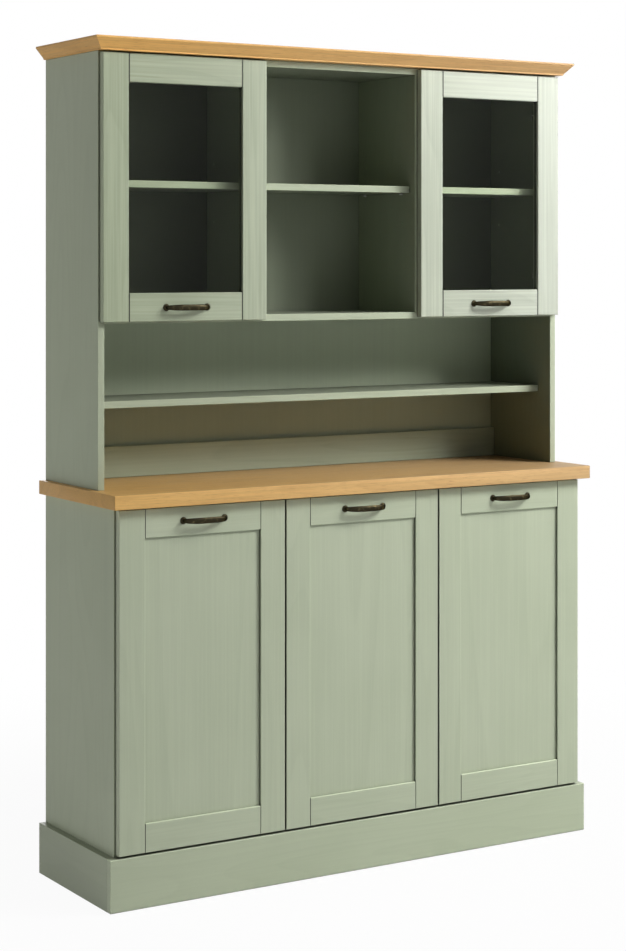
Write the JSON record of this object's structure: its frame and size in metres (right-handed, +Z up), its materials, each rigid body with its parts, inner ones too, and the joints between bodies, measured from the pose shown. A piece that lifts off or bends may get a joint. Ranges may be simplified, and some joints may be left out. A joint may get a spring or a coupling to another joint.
{
  "type": "buffet cabinet",
  "caption": "Free-standing buffet cabinet: framed cupboard doors under an oak top, and a hutch with glass doors, open shelves and a cornice.",
  "frame": {"origin": "middle of the footprint at floor level, handles included", "axes": "+Z up, the doors face -Y, +X to the right of a person facing the doors"},
  "size_m": [1.351, 0.405, 1.948],
  "materials": {
    "green_paint": "satin sage-green lacquer over pine, grain showing",
    "oak": "matt oiled oak",
    "glass": "clear float glass",
    "antique_brass": "dark antique bronze with rubbed high spots",
    "steel": "nickel-plated",
    "glide_plastic": "black plastic",
    "beech": "bare fluted beech",
    "back_board": "thin panel lacquered green in front"
  },
  "bodies": {
    "root": {"base_back_panel": "back_board", "base_centre_shelf": "green_paint", "base_floor": "green_paint", "base_left_divider": "green_paint", "base_left_shelf": "green_paint", "base_left_side": "green_paint", "base_right_divider": "green_paint", "base_right_shelf": "green_paint", "base_right_side": "green_paint", "base_toe_rails": "green_paint", "base_top_rails": "green_paint", "cornice": "oak", "counter_screws": "steel", "countertop": "oak", "dowels": "beech", "floor_glides": "glide_plastic", "hinge_arms": "steel", "hutch_back_panel": "back_board", "hutch_centre_shelf": "green_paint", "hutch_floor": "green_paint", "hutch_left_divider": "green_paint", "hutch_left_shelf": "green_paint", "hutch_left_side": "green_paint", "hutch_right_divider": "green_paint", "hutch_right_shelf": "green_paint", "hutch_right_side": "green_paint", "hutch_top_panel": "green_paint", "niche_back_rail": "green_paint", "niche_shelf": "green_paint", "plinth_front": "green_paint", "plinth_left": "green_paint", "plinth_right": "green_paint", "shelf_pins": "steel"},
    "base_left_door": {"base_left_door_fittings": "steel", "base_left_door_handle": "antique_brass", "base_left_door_panel": "green_paint", "base_left_door_rails": "green_paint", "base_left_door_stiles": "green_paint"},
    "base_centre_door": {"base_centre_door_fittings": "steel", "base_centre_door_handle": "antique_brass", "base_centre_door_panel": "green_paint", "base_centre_door_rails": "green_paint", "base_centre_door_stiles": "green_paint"},
    "base_right_door": {"base_right_door_fittings": "steel", "base_right_door_handle": "antique_brass", "base_right_door_panel": "green_paint", "base_right_door_rails": "green_paint", "base_right_door_stiles": "green_paint"},
    "glass_left_door": {"glass_left_door_beads": "green_paint", "glass_left_door_fittings": "steel", "glass_left_door_handle": "antique_brass", "glass_left_door_pane": "glass", "glass_left_door_rails": "green_paint", "glass_left_door_stiles": "green_paint"},
    "glass_right_door": {"glass_right_door_beads": "green_paint", "glass_right_door_fittings": "steel", "glass_right_door_handle": "antique_brass", "glass_right_door_pane": "glass", "glass_right_door_rails": "green_paint", "glass_right_door_stiles": "green_paint"}
  },
  "joints": [
    {"name": "base_left_door_hinge", "type": "hinge", "parent": "root", "child": "base_left_door", "pos_m": [-0.646, -0.1755, 0.50825], "axis": [0, 0, -1], "range_deg": [0, 110]},
    {"name": "base_centre_door_hinge", "type": "hinge", "parent": "root", "child": "base_centre_door", "pos_m": [-0.214, -0.1755, 0.50825], "axis": [0, 0, -1], "range_deg": [0, 110]},
    {"name": "base_right_door_hinge", "type": "hinge", "parent": "root", "child": "base_right_door", "pos_m": [0.646, -0.1755, 0.50825], "axis": [0, 0, 1], "range_deg": [0, 110]},
    {"name": "glass_left_door_hinge", "type": "hinge", "parent": "root", "child": "glass_left_door", "pos_m": [-0.646, -0.0955, 1.61], "axis": [0, 0, -1], "range_deg": [0, 110]},
    {"name": "glass_right_door_hinge", "type": "hinge", "parent": "root", "child": "glass_right_door", "pos_m": [0.646, -0.0955, 1.61], "axis": [0, 0, 1], "range_deg": [0, 110]}
  ]
}
